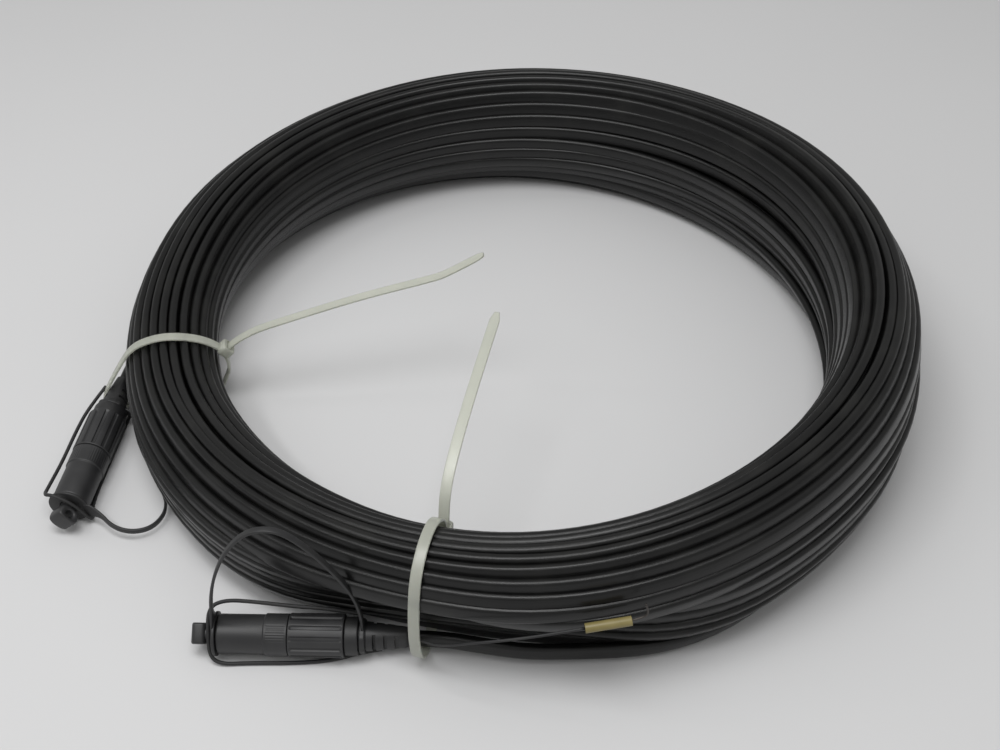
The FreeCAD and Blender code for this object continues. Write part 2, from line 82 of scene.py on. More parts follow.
# %% Shader sums
class Shade:
    """One socket of a material's nodes, which can be added and multiplied."""

    def __init__(self, tree, socket=None):
        self.tree = tree
        self.socket = socket

    def add(self, kind, settings=None, inputs=None, out=0):
        """Adds a node of any kind: its settings first, then the values or links of its sockets."""
        node = self.tree.nodes.new(kind)
        for key, value in (settings or {}).items():
            setattr(node, key, value)
        for key, value in (inputs or {}).items():
            if isinstance(value, Shade):
                self.tree.links.new(value.socket, node.inputs[key])
            else:
                node.inputs[key].default_value = value
        return Shade(self.tree, node.outputs[out])

    def maths(self, operation, other):
        return self.add("ShaderNodeMath", {"operation": operation}, {0: self, 1: other})

    def __add__(self, other):
        return self.maths("ADD", other)

    def __mul__(self, other):
        return self.maths("MULTIPLY", other)

    __radd__ = __add__
    __rmul__ = __mul__


print("shader sums ready:", Shade.__doc__)

# %% [markdown]
# A few short helpers name what the finishes are made of: cloudy noise, a mask that eases from one value
# to another, two tones mixed by a mask, and a grain that stands up from the surface.

# %% Finish helpers
def place_on(shade):
    """Where a point of the surface is, in metres, whatever the piece's pose."""
    return shade.add("ShaderNodeTexCoord", out="Object")


def noise(shade, scale, detail, place=None):
    return shade.add("ShaderNodeTexNoise", {}, {"Vector": place or place_on(shade), "Scale": scale,
                                                "Detail": detail}, out="Fac")


def between(shade, value, low, high):
    """A value's place from low to high, as 0 to 1."""
    return shade.add("ShaderNodeMapRange", {"interpolation_type": "SMOOTHSTEP"},
                     {"Value": value, "From Min": low, "From Max": high})


def two_tone(shade, mask, dark, light):
    return shade.add("ShaderNodeMix", {"data_type": "RGBA"},
                     {0: mask, 6: (*dark, 1), 7: (*light, 1)}, out=2)


def raised(shade, height, depth, strength=1.0):
    return shade.add("ShaderNodeBump", {}, {"Height": height, "Distance": depth, "Strength": strength})


def finish_of(name, recipe, **fixed):
    """A material whose varying sockets come from recipe, and whose even ones are set on the shader."""
    material = bpy.data.materials.new(name)
    material.use_nodes = True
    tree = material.node_tree
    shader = tree.nodes["Principled BSDF"]
    for key, value in fixed.items():
        shader.inputs[key.replace("_", " ").title().replace("Ior", "IOR")].default_value = value
    for key, value in recipe(Shade(tree)).items():
        tree.links.new(value.socket, shader.inputs[key])
    print("made finish", material.name)
    return material


print("finish helpers:", [helper.__name__ for helper in (noise, between, two_tone, raised, finish_of)])

# %% [markdown]
# The jacket is black polyethylene, drawn through a die: satin, with faint lines along its length, and
# a grey bloom where turns have rubbed together. The lines need a direction, so the cable's mesh carries
# a map whose first number runs along the cable and whose second runs round it.

# %% Jacket finish
die_lines_along, die_lines_round = 6, 90
die_line_depth = 0.00012
bloom_scale = 55.0
bare_jacket = (0.0035, 0.0035, 0.0035)
bloomed_jacket = (0.0075, 0.0075, 0.007)


def jacket(shade):
    run = {"Vector": shade.add("ShaderNodeUVMap", {"uv_map": "run"})}
    length = shade.add("ShaderNodeSeparateXYZ", {}, run, out="X")
    girth = shade.add("ShaderNodeSeparateXYZ", {}, run, out="Y")
    lines_at = shade.add("ShaderNodeCombineXYZ", {}, {"X": length * die_lines_along,
                                                      "Y": girth * die_lines_round})
    lines = noise(shade, 1.0, 3.0, lines_at)
    bloom = between(shade, noise(shade, bloom_scale, 4.0), 0.45, 0.75)
    return {
        "Base Color": two_tone(shade, bloom, bare_jacket, bloomed_jacket),
        "Roughness": 0.26 + 0.08 * bloom + 0.06 * lines,
        "Normal": raised(shade, lines, die_line_depth, 0.5),
    }


jacket_black = finish_of("jacket_black", jacket, specular_ior_level=0.36)

# %% [markdown]
# One cable makes all the turns, so it is one line: out of the first plug, round and round the ring, and
# back out to the second. The ring leans: it is low at the tied left side and stands tall at the right,
# where nothing holds it. So its section is given at stations round it, as a rounded oblong whose foot may
# be drawn in or out, and a section between two stations is read off between them.

# %% Ring section
cable_wide = 8.1
cable_thick = 4.4
# azimuth in degrees, then in millimetres the ring's inner and outer radius, its height, and how far its
# foot is drawn out on the inside and on the outside
ring_stations = [(0, 152, 191.6, 88, 0, 0), (30, 151, 186.2, 86, 1, 0), (60, 151, 185, 80, 5, 0),
                 (90, 151, 190.5, 74.5, 13.5, 0), (120, 152, 195, 69, 14, 0), (150, 153, 200.5, 61, 16, 0),
                 (170, 153.5, 201, 49, 14.5, 0), (187, 151, 195.6, 39.2, 9, 0), (204, 144, 192, 46, 0, 0),
                 (222, 143, 190.5, 54, 0, 0), (240, 143.5, 188, 60, 0, 3), (250, 146, 186, 61, 0, 3),
                 (258, 147, 185.5, 62, 0, 3), (268, 147.6, 191, 66, 0, 13), (285, 149.5, 193, 72, 0, 6),
                 (305, 152, 191.4, 79, 0, -4), (330, 153.2, 194.6, 85.3, 0, -4)]
station_blur = 5
foot_high = 32.0
foot_curve = 1.5
section_squareness = 2.35
foot_squareness = 3.4
# above the first plug the ring's outer side slopes: azimuth, squareness of the upper outer quarter
slope_stations = [(190, section_squareness), (208, 1.7), (236, 1.7), (252, section_squareness)]
side_pitch = 4.45
rise_pitch = 7.3


def ring_size(azimuth):
    """The ring's inner and outer radius, its height and the two draws of its foot at an azimuth."""
    around, *sizes = zip(*ring_stations)
    nearby = [azimuth - station_blur, azimuth, azimuth + station_blur]
    return [np.mean(np.interp(nearby, around, size, period=360)) for size in sizes]


def heap_place(azimuth, layer, angle):
    """Radius and height of a place in the heap: layer 0 is its outside, angle goes round the section."""
    inner, outer, height, foot_in, foot_out = ring_size(azimuth)
    across, up = math.cos(angle), math.sin(angle)
    square = section_squareness
    if across > 0:
        square = foot_squareness if up < 0 else np.interp(azimuth % 360, *zip(*slope_stations))
    across = math.copysign(abs(across) ** (2 / square), across)
    up = math.copysign(abs(up) ** (2 / square), up)
    reach = (outer - inner) / 2 - cable_thick / 2 - layer * side_pitch
    rise = height / 2 - cable_wide / 2 - layer * rise_pitch
    level = height / 2 + rise * up
    foot = (foot_in * (1 - across) + foot_out * (1 + across)) / 2
    drawn = max(0.0, 1 - level / foot_high) ** foot_curve * foot
    return (inner + outer) / 2 + reach * across + drawn, level


print("ring stations:", len(ring_stations))

# %% [markdown]
# Each turn takes the next place in the section: first along the outside of the heap, then through its
# middle, then outside again, so that neighbours stay neighbours. From one turn to the next is about the
# cable's thickness across, or a little less than its width upward. Turns that lie on the floor are looser,
# and a change from one layer to the other is quick, so that it doesn't leave a groove.

# %% Heap order
typical_azimuth = 300.0
floor_slack = 0.9
# turns feel the floor from this far below the section's middle, as a sine, and wholly this much lower
floor_from, floor_ease = 0.6, 0.3
quick_change = 0.35
run_steps = 120
# layer, the angles in degrees between which its turns are laid, and the share of a full lay they get
heap_runs = [(0, -58, -250, 1.0), (1, -250, -554, 1.0), (1, -554, -597, 0.12), (0, -610, -755, 1.0)]


def heap_order():
    """Layer and angle of each step through the heap, with how many turns have been laid by then."""
    layers, angles, shares, laid = [], [], [], [0.0]
    for layer, first, last, share in heap_runs:
        for angle in np.radians(np.linspace(first, last, run_steps)):
            layers.append(layer)
            angles.append(angle)
            shares.append(share)
    spots = [heap_place(typical_azimuth, layer, angle) for layer, angle in zip(layers, angles)]
    for before, after, angle, share, change in zip(spots, spots[1:], angles, shares, np.diff(layers)):
        under = min(1.0, max(0.0, (-math.sin(angle) - floor_from) / floor_ease))
        across = (after[0] - before[0]) / (side_pitch * (1 + floor_slack * under))
        steps = math.hypot(across, (after[1] - before[1]) / rise_pitch)
        laid.append(laid[-1] + steps * (quick_change if change else share))
    return np.array(layers, float), np.array(angles), np.array(laid)


heap_layers, heap_angles, heap_laid = heap_order()
print("turns that the heap holds:", round(heap_laid[-1], 2))

# %% [markdown]
# The first plug lies against the foot of the ring, so the turns there are pushed in. The push squeezes the
# heap between the plug and a depth beyond which nothing moves, so the turns keep their order. It is most
# at the height of the plug's line, and ends above it.

# %% Push of the first plug
plug_tips = {"a": Vector((-140.1, -169.3, 9.8)), "b": Vector((-210.2, -109.0, 9.8))}
plug_ways = {"a": math.radians(-1.25), "b": math.radians(83.7)}
# distance along the plug from its tip, then how far from its line the turns are kept, in millimetres
nest_rooms = [(-25, 0), (0, 11.8), (66, 11.8), (92, 7.7), (112, 5.0), (150, 0)]
# distance along the plug from its tip, then how high above its line the push ends
nest_heights = [(30, 28.0), (75, 30.5)]
heap_depth = 44.0
least_push = 0.01


def on_plug(end, along, side=0.0, up=0.0):
    """A point of a plug, in millimetres: along from its tip, to its side, and up."""
    way = plug_ways[end]
    ahead = Vector((math.cos(way), math.sin(way), 0))
    return plug_tips[end] + along * ahead + side * Vector((-ahead.y, ahead.x, 0)) + Vector((0, 0, up))


def pushed(point):
    """A turn's point, moved in from the first plug, its strap and the cable that leaves it."""
    ahead = on_plug("a", 1.0) - on_plug("a", 0.0)
    inward = Vector((-ahead.y, ahead.x, 0))
    away = point - on_plug("a", 0.0)
    along, depth, above = away.dot(ahead), away.dot(inward), abs(away.z)
    nest_height = np.interp(along, *zip(*nest_heights))
    room = np.interp(along, *zip(*nest_rooms))
    room *= math.sqrt(max(0.0, 1 - (above / nest_height) ** 2))
    if room < least_push or depth > heap_depth:
        return point
    wall = ring_size(math.degrees(math.atan2(point.y, point.x)))[1] - cable_thick / 2
    front = -math.sqrt(max(0.0, wall ** 2 - point.x ** 2)) - on_plug("a", along).y
    share = max(0.0, (depth - front) / (heap_depth - front))
    wanted = room + share * (heap_depth - room)
    return point + inward * max(0.0, wanted - depth)


print("plug tips:", {end: [round(x, 1) for x in tip] for end, tip in plug_tips.items()})

# %% [markdown]
# Now the whole route: a few points given where the cable leaves each plug, and a loop for the turns between.
# No turn is quite like the next, so each sways and bobs a little, most at the loose right side and not at
# all under a tie. Its flat section leans as well, like a shingle on the outside.

# %% Cable route
turn_points = 18
cable_start = 68.0
cable_straight = 103.6
cable_a_route = [(-14.0, -176.4, 10.0), (8.0, -179.0, 9.2)]
cable_b_route = [(-182.0, 54.0, 13.4), (-187.0, 35.0, 11.4), (-194.4, 15.0, 9.9)]
first_azimuth = 272.6
last_round = 43
last_azimuth = last_round * 360 + 163.4
tie_azimuths = (256.3, 187.0)
tie_hold = 25
loose_seed = 7
loose_least, loose_most = 0.35, 1.1
loose_side = 0.3
sway_once, sway_twice = 0.7, 0.6
bob_once, bob_twice = 0.8, 0.6
shingle_lean, corner_lean, loose_lean = 13, 18, 4
floor_clear = 0.25


def cable_points():
    """The control points of the whole cable, in millimetres, with each one's lean in radians."""
    draw = np.random.default_rng(loose_seed)
    turns = math.ceil((last_azimuth - first_azimuth) / 360) + 1
    phases = draw.uniform(0, 2 * math.pi, (turns, 4))
    leans = draw.normal(0, 1, turns)
    points = [on_plug("a", cable_start), on_plug("a", cable_straight), *(Vector(p) for p in cable_a_route)]
    tilts = [0.0] * len(points)
    step = 360 / turn_points
    spread = heap_laid[-1] / ((last_azimuth - first_azimuth) / 360)
    for azimuth in np.arange(first_azimuth + step, last_azimuth - step / 2, step):
        turn = (azimuth - first_azimuth) / 360
        layer = np.interp(turn * spread, heap_laid, heap_layers)
        angle = np.interp(turn * spread, heap_laid, heap_angles)
        radius, height = heap_place(azimuth, layer, angle)
        a, b, c, d = phases[int(turn)]
        around = math.radians(azimuth)
        held = min(abs((azimuth - tie + 180) % 360 - 180) for tie in tie_azimuths)
        loose = loose_least + loose_most * max(0.0, math.cos(around - loose_side)) ** 2
        free = loose * min(1.0, held / tie_hold)
        radius += free * (sway_once * math.sin(around + a) + sway_twice * math.sin(2 * around + b))
        height += free * (bob_once * math.sin(around + c) + bob_twice * math.sin(2 * around + d))
        # the spline runs inside its control points, so they stand out by as much
        radius /= math.cos(math.pi / turn_points)
        point = pushed(Vector((radius * math.cos(around), radius * math.sin(around), height)))
        point.z = max(point.z, cable_wide / 2 + floor_clear)
        points.append(point)
        lean = shingle_lean * math.cos(angle) * abs(math.cos(angle)) - corner_lean * math.sin(2 * angle)
        tilts.append(math.radians(lean + loose_lean * leans[int(turn)]))
    ends = [*(Vector(p) for p in cable_b_route), on_plug("b", cable_straight), on_plug("b", cable_start)]
    return points + ends, tilts + [0.0] * len(ends)


cable_route, cable_tilts = cable_points()
print("cable control points:", len(cable_route))

# %% [markdown]
# A NURBS spline of order 3 takes the points as its control points, and rounds them into one smooth line.
# A curve with no bevel turns into a mesh of bare points along that line, which a sweep can follow.

# %% Spline
cable_fineness = 7


def line_of(points, fineness):
    """Points along the NURBS spline that has these control points, in metres."""
    curve = bpy.data.curves.new("route", "CURVE")
    curve.dimensions = "3D"
    curve.resolution_u = fineness
    spline = curve.splines.new("NURBS")
    spline.points.add(len(points) - 1)
    for control, point in zip(spline.points, points):
        control.co = (*(Vector(point) * mm), 1.0)
    spline.order_u = 3
    spline.use_endpoint_u = True
    spline.resolution_u = fineness
    holder = bpy.data.objects.new("route", curve)
    bare = bpy.data.meshes.new_from_object(holder)
    line = np.array([v.co for v in bare.vertices], float)
    bpy.data.meshes.remove(bare)
    bpy.data.objects.remove(holder)
    bpy.data.curves.remove(curve)
    return line


def distance_along(line):
    return np.concatenate([[0], np.cumsum(np.linalg.norm(np.diff(line, axis=0), axis=1))])


cable_line = line_of(cable_route, cable_fineness)
print("cable length", round(distance_along(cable_line)[-1], 2), "m")
print("lowest point of its line", round(cable_line[:, 2].min(), 4), "m")

# %% [markdown]
# The jacket is swept along those points: at each of them stands a ring of the cable's rounded oblong
# section, on its narrow edge and turned by its lean, and a skin joins ring to ring. The same sweep serves
# the straps, the ties and the cords, with rings of their own.

# %% Sweep
def rounded_oblong(thick, wide, corner, corner_steps=4):
    """The outline of a cable or strap: thin across, wide up, with round corners."""
    ring = []
    for quarter in range(4):
        side = 1 if quarter in (0, 3) else -1
        top = 1 if quarter in (0, 1) else -1
        for step in range(corner_steps):
            turn = math.pi / 2 * (quarter + step / (corner_steps - 1))
            ring.append((side * (thick / 2 - corner) + corner * math.cos(turn),
                         top * (wide / 2 - corner) + corner * math.sin(turn)))
    return np.array(ring) * mm


def frames_along(line, tilts, up):
    """Across and up directions at each point of a line, turned about it by its tilt."""
    along = np.gradient(line, axis=0)
    along /= np.linalg.norm(along, axis=1)[:, None]
    across = np.cross(up, along)
    across /= np.linalg.norm(across, axis=1)[:, None]
    rise = np.cross(along, across)
    cos, sin = np.cos(tilts)[:, None], np.sin(tilts)[:, None]
    return across * cos + rise * sin, rise * cos - across * sin


def swept_skin(line, ring, tilts=0.0, up=(0, 0, 1.0), sizes=None):
    """Points and faces of a ring swept along a line, closed at its ends. Sizes stretch it two ways."""
    tilts = np.broadcast_to(np.asarray(tilts, float), len(line))
    across, rise = frames_along(line, tilts, np.asarray(up, float))
    sizes = np.ones((len(line), 2)) if sizes is None else np.asarray(sizes)
    shape = ring[None] * sizes[:, None]
    points = line[:, None] + shape[..., :1] * across[:, None] + shape[..., 1:] * rise[:, None]
    around, last = len(ring), (len(line) - 1) * len(ring)
    faces = []
    for low in range(0, last, around):
        for k in range(around):
            after = (k + 1) % around
            faces.append((low + k, low + after, low + around + after, low + around + k))
    faces += [tuple(reversed(range(around))), tuple(range(last, last + around))]
    return points.reshape(-1, 3), faces


cable_corner = 1.75
cable_ring = rounded_oblong(cable_thick, cable_wide, cable_corner)
print("points round the jacket:", len(cable_ring))

# %% [markdown]
# A skin turns into a piece when it gets a mesh, a finish and a place in the scene. A swept piece also gets
# the map that the jacket's lines run by. The cable rides on the fixed body of the frame.

# %% Cable
def piece_from(name, points, faces, material):
    """A new mesh piece with one finish."""
    mesh = bpy.data.meshes.new(name)
    mesh.from_pydata([tuple(p) for p in points], [], faces)
    mesh.validate()
    mesh.materials.append(material)
    mesh.shade_smooth()
    piece = bpy.data.objects.new(name, mesh)
    scene.collection.objects.link(piece)
    return piece


def swept_piece(name, line, ring, material, **ways):
    """A swept ring as a piece, with a map that runs along it and round it."""
    piece = piece_from(name, *swept_skin(line, ring, **ways), material)
    far, around = distance_along(line), len(ring)
    run = piece.data.uv_layers.new(name="run")
    corner_points = np.zeros(len(piece.data.loops), np.int32)
    piece.data.loops.foreach_get("vertex_index", corner_points)
    spots = np.stack([far[corner_points // around], (corner_points % around) / around], axis=1)
    run.data.foreach_set("uv", spots.astype(np.float32).ravel())
    return piece


tilt_places = np.linspace(0, len(cable_tilts) - 1, len(cable_line))
cable = swept_piece("cable", cable_line, cable_ring, jacket_black,
                    tilts=np.interp(tilt_places, np.arange(len(cable_tilts)), cable_tilts))
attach(cable, "root")
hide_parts("cable_coil", "cable_end_a", "cable_end_b")
print("made", cable.name, len(cable.data.polygons), "faces")

# %% [markdown]
# The plugs are turned and lofted shapes. Each is a stack of rings about the plug's own line, in millimetres
# from the tip of its knob, with a skin from ring to ring. Moulded corners are never quite sharp, so the
# profiles' corners are eased, and each then carries its own thin line of light.

# %% Stacked rings
ease_steps = 4


def stacked(rings, hollow=False):
    """Points and faces of a skin over matching rings. A hollow one joins its last ring to its first."""
    count = len(rings[0])
    points = [Vector(p) for ring in rings for p in ring]
    faces = []
    for row in range(len(rings) if hollow else len(rings) - 1):
        low, high = row * count, (row + 1) % len(rings) * count
        for k in range(count):
            after = (k + 1) % count
            faces.append((low + k, low + after, high + after, high + k))
    if not hollow:
        faces += [tuple(reversed(range(count))), tuple(range(len(points) - count, len(points)))]
    return points, faces


def eased(corners):
    """A profile of stations and radii. A corner's third number says how far from it the easing starts."""
    profile = []
    for i, (station, radius, ease) in enumerate(corners):
        here = Vector((station, radius))
        if ease == 0:
            profile.append(here)
            continue
        back = (Vector(corners[i - 1][:2]) - here).normalized() * ease
        ahead = (Vector(corners[(i + 1) % len(corners)][:2]) - here).normalized() * ease
        for step in range(ease_steps + 1):
            share = step / ease_steps
            profile.append(here + back * (1 - share) ** 2 + ahead * share ** 2)
    return profile


def turned(corners, sides, shaped=None, hollow=False):
    """A skin turned from a profile about the plug's line. Shaped may change the radius round it."""
    rings = []
    for station, radius in eased(corners):
        ring = []
        for k in range(sides):
            turn = 2 * math.pi * k / sides
            reach = shaped(station, radius, turn) if shaped else radius
            ring.append((station, reach * math.cos(turn), reach * math.sin(turn)))
        rings.append(ring)
    return stacked(rings, hollow)


print("steps in an eased corner:", ease_steps)

# %% [markdown]
# A plug's piece may be several closed skins, such as a cap and its knob. They are put in the plug's own
# place together, their faces are turned outward, and edges sharper than a set angle stay crisp.

# %% Plug pieces
sharp_angle = math.radians(38)
plug_frames = {end: Matrix.Translation(plug_tips[end]) @ Matrix.Rotation(plug_ways[end], 4, "Z")
               for end in "ab"}


def piece_of(name, skins, material, place=Matrix.Identity(4)):
    """One piece from several closed skins in millimetres, with all faces turned outward."""
    points, faces = [], []
    for skin_points, skin_faces in skins:
        faces += [tuple(i + len(points) for i in face) for face in skin_faces]
        points += [place @ Vector(p) * mm for p in skin_points]
    piece = piece_from(name, points, faces, material)
    work = bmesh.new()
    work.from_mesh(piece.data)
    bmesh.ops.recalc_face_normals(work, faces=work.faces)
    work.to_mesh(piece.data)
    work.free()
    piece.data.set_sharp_from_angle(angle=sharp_angle)
    print("made", name, len(piece.data.polygons), "faces")
    return piece


def fade(value, low, high):
    """0 below low, 1 above high, and a straight way between."""
    return min(1.0, max(0.0, (value - low) / (high - low)))


print("plugs:", list(plug_frames))

# %% [markdown]
# Four finishes dress the plugs: hard black plastic with a fine grain for cap and nut, softer rubber for
# boot and strap, a rough black for the cords, and grey for the connector that hides inside the shroud.

# %% Plug finishes
worn_scale = 70.0
worn_sheen = 0.10


def moulded(dark, light, roughness, grain, depth):
    """A recipe for plastic or rubber: two close tones, a worn sheen and a fine grain."""
    def recipe(shade):
        worn = between(shade, noise(shade, worn_scale, 3.0), 0.38, 0.68)
        return {"Base Color": two_tone(shade, worn, dark, light),
                "Roughness": roughness + worn_sheen * worn,
                "Normal": raised(shade, noise(shade, grain, 2.0), depth)}
    return recipe


plug_black = finish_of("plug_black", moulded((0.019, 0.019, 0.020), (0.026, 0.026, 0.027),
                                             roughness=0.40, grain=2400.0, depth=0.00002))
soft_black = finish_of("soft_black", moulded((0.014, 0.014, 0.015), (0.021, 0.021, 0.021),
                                             roughness=0.46, grain=1500.0, depth=0.00002))
cord_black = finish_of("cord_black", moulded((0.011, 0.011, 0.012), (0.022, 0.022, 0.022),
                                             roughness=0.55, grain=3000.0, depth=0.00008))
connector_grey = finish_of("connector_grey", moulded((0.10, 0.10, 0.105), (0.14, 0.14, 0.145),
                                                     roughness=0.38, grain=2400.0, depth=0.00002))
for end in "ab":
    for name, finish in (("plug_shroud_", plug_black), ("inner_connector_", connector_grey)):
        nodes[name + end].data.materials.clear()
        nodes[name + end].data.materials.append(finish)

# %% [markdown]
# The cap screws on over the plug. Its knob has an eye for a pulling hook. A boolean could cut the eye, but
# a ring of sections round it, each as deep as the knob is there, leaves a clean edge.

# %% Pulling knob
knob_half_length = 3.2
knob_half_width = 5.0
knob_thick = 9.0
knob_squareness = 3.4
knob_sections = 72
knob_round, knob_round_most = 0.42, 2.6
eye_radius = 2.0


def knob_skin():
    """The pulling knob: a thick rounded plate with an eye through it."""
    rings = []
    for k in range(knob_sections):
        turn = 2 * math.pi * k / knob_sections
        ahead, up = math.cos(turn), math.sin(turn)
        outward = (abs(ahead / knob_half_length) ** knob_squareness
                   + abs(up / knob_half_width) ** knob_squareness)
        reach = outward ** (-1 / knob_squareness)
        middle, deep = (reach + eye_radius) / 2, reach - eye_radius
        outline = rounded_oblong(deep, knob_thick, knob_round * min(deep, knob_round_most), 5) / mm
        rings.append([(knob_half_length + (middle + x) * ahead, y, (middle + x) * up) for x, y in outline])
    return stacked(rings, hollow=True)


print("sections round the knob's eye:", knob_sections)

# %% [markdown]
# The cap itself is turned, closed at its neck and hollow behind it. Its collar has patches of fine grip
# lines. A Screw modifier could turn the profile, but a function of station and angle can cut the lines too:
# at the collar's radius, a wave round the plug takes a little off.

# %% Screw caps
eye_rolls = {"a": 35.0, "b": -40.0}
cap_sides = 300
neck_round = 3.8
cap_round = 8.5
cap_bore = 7.26
collar_round = 9.0
collar_least = 8.95
grip_start, grip_end = (32.2, 32.6), (39.9, 40.3)
grip_patch = (0.45, 0.6)
grip_depth = 0.17
grip_line_count = 50
# station along the plug from its tip, radius, and how far from the corner its easing starts
cap_profile = [(5.2, 3.2, 0), (5.9, neck_round, 0), (11.2, neck_round, 0.5), (11.2, cap_round, 1.0),
               (31.0, cap_round, 0.2), (31.4, collar_round, 0.3),
               *((station, collar_round, 0) for station in (*grip_start, *grip_end)),
               (41.2, collar_round, 0.4), (41.2, cap_bore, 0.2), (14.2, cap_bore, 0)]


def grip_lines(station, radius, turn):
    """Fine lines in four patches of the collar."""
    if radius < collar_least:
        return radius
    patch = fade(abs(math.cos(2 * turn)), *grip_patch)
    patch *= fade(station, *grip_start) * fade(-station, -grip_end[1], -grip_end[0])
    return radius - grip_depth * patch * (0.5 + 0.5 * math.cos(grip_line_count * turn))


for end in "ab":
    roll = Matrix.Rotation(math.radians(eye_rolls[end]), 4, "X")
    skins = [knob_skin(), turned(cap_profile, cap_sides, grip_lines)]
    cap = piece_of("screw_cap_" + end, skins, plug_black, plug_frames[end] @ roll)
    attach(cap, "cap_" + end)
    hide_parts("dust_cap_" + end)

# %% [markdown]
# The nut turns on the plug behind the cap. Twelve grooves part its grip into broad ribs, and its nose
# carries the screw thread that the cap comes off along. A thread could be a ridge swept along a helix, but
# a wave in the radius that goes round with the station is the same shape in one skin.

# %% Grip nuts
nut_sides = 288
nut_bore = 5.48
thread_pitch = 4.3
thread_depth = 0.22
thread_round = 6.95
thread_start, thread_step, thread_rings = 33.2, 0.3, 27
ribs_round = 9.3
ribs_least = 8.5
groove_count = 12
groove_depth = 0.7
groove_start, groove_end = (42.0, 43.0), (63.4, 64.4)
groove_half, groove_floor = 1.05, 0.65
near_enough = 0.03
nut_profile = [(32.9, nut_bore, 0), (32.9, 6.75, 0),
               *((thread_start + thread_step * k, thread_round, 0) for k in range(thread_rings)),
               (41.5, 6.9, 0), (41.5, ribs_round, 0.5), (42.4, ribs_round, 0), (43.2, ribs_round, 0),
               (63.2, ribs_round, 0), (64.0, ribs_round, 0), (64.9, ribs_round, 0.5), (64.9, nut_bore, 0)]


def ribs_and_thread(station, radius, turn):
    """The nut's radius with its thread on the nose and its grooves between the ribs."""
    if abs(radius - thread_round) < near_enough:
        return radius + thread_depth * math.cos(2 * math.pi * station / thread_pitch - turn)
    if radius < ribs_least:
        return radius
    off_groove = abs(turn * groove_count / (2 * math.pi) % 1 - 0.5) * 2 * math.pi * radius / groove_count
    inside = fade(station, *groove_start) * fade(-station, -groove_end[1], -groove_end[0])
    return radius - groove_depth * inside * fade(-off_groove, -groove_half, -groove_floor)


for end in "ab":
    nut = piece_of("grip_nut_" + end, [turned(nut_profile, nut_sides, ribs_and_thread, hollow=True)],
                   plug_black, plug_frames[end])
    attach(nut, "nut_" + end)
    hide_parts("coupling_nut_" + end)

# %% [markdown]
# The boot eases the cable's bend where it leaves the plug. It starts round and ends as flat as the cable,
# which a cone can't do, so its rings change little by little from one to the other. Three slots are cut in
# each broad side so that it can flex.

# %% Cable boots
taper_start, taper_end = 74.2, 91.6
boot_round = 6.3
boot_end_thick, boot_end_tall = 3.1, 4.95
boot_end_squareness = 1.1
boot_end_ease = 0.35
head_round = 8.15
seat_round = 6.0
slot_starts = [76.8, 81.5, 86.2]
slot_edges = (0, 0.04, 0.96, 1)
slot_wide = 1.5
slot_web = 3.0
between_slots = [75.2, 76.2, 79.0, 80.2, 83.8, 85.0, 88.6, 90.2, 91.2, taper_end]
boot_sides = 64
boot_head = [(65.2, 2.8, 0), (65.2, head_round, 0.5), (70.8, head_round, 0.6), (71.0, seat_round, 0),
             (74.0, seat_round, 0), (taper_start, boot_round, 0)]


def taper_ring(station, turns):
    """A ring of the boot's tapered part, between round and flat, with its broad sides cut at a slot."""
    share = (station - taper_start) / (taper_end - taper_start)
    ease = boot_end_ease if station == taper_end else 0
    thick = boot_round + share * (boot_end_thick - boot_round) - ease
    tall = boot_round + share * (boot_end_tall - boot_round) - ease
    square = 2 / (2 + boot_end_squareness * share)
    cut = any(start < station < start + slot_wide for start in slot_starts)
    ring = []
    for turn in turns:
        side = thick * math.copysign(abs(math.cos(turn)) ** square, math.cos(turn))
        rise = tall * math.copysign(abs(math.sin(turn)) ** square, math.sin(turn))
        ring.append((station, max(-slot_web, min(slot_web, side)) if cut else side, rise))
    return ring


def boot_rings():
    turns = [2 * math.pi * k / boot_sides for k in range(boot_sides)]
    rings = [[(station, radius * math.cos(turn), radius * math.sin(turn)) for turn in turns]
             for station, radius in eased(boot_head)]
    edges = [start + slot_wide * share for start in slot_starts for share in slot_edges]
    return rings + [taper_ring(station, turns) for station in sorted(edges + between_slots)]


boots = {}
for end in "ab":
    boots[end] = piece_of("cable_boot_" + end, [stacked(boot_rings())], soft_black, plug_frames[end])
    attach(boots[end], "root")
    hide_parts("boot_" + end)

# %% [markdown]
# The cable is a cord of the length that it is sold in, which leaves the first plug's boot and has the second
# plug on its far end. The point where it leaves the boot is worked out here.

# %% Cable facts
boot_mouth = 88.0
on_plug("a", boot_mouth) * mm

# %% [markdown]
# A moulded strap keeps the cap with its plug. It has a ring loose on the cap's neck, a thin band in a
# springy loop, and a ring tight on the boot. As the cap screws off, the loop opens.

# %% Cap straps
# along the plug from its tip and out from its line, in millimetres
strap_routes = {
    "a": [(9.8, 7.0), (10.2, 20.0), (15.0, 41.0), (23.0, 59.0), (33.0, 70.0), (44.0, 70.6), (53.5, 61.0),
          (63.0, 46.0), (70.4, 30.0), (72.8, 15.0), (72.7, 6.6)],
    "b": [(9.8, 7.0), (9.3, 14.0), (2.0, 23.0), (1.0, 33.0), (6.5, 41.5), (19.0, 44.0), (34.0, 34.2),
          (50.0, 21.5), (64.0, 13.8), (72.2, 11.2), (72.7, 6.9)],
}
strap_rolls = {"a": 0.0, "b": 97.0}
strap_thick = 1.3
strap_wide = 3.2
strap_corner = 0.5
strap_fineness = 12
band_least, band_gain = 0.8, 0.2
neck_flare, neck_flare_at, neck_flare_long = 1.6, 2.5, 5.0
boot_flare, boot_flare_long = 0.5, 4.0
bend_start, bend_end = 66.0, 14.0
neck_sides, seat_sides = 72, 96
neck_ring = [(9.5, 4.1, 0.2), (9.5, 9.5, 0.5), (10.9, 9.5, 0.5), (10.9, 4.1, 0.2)]
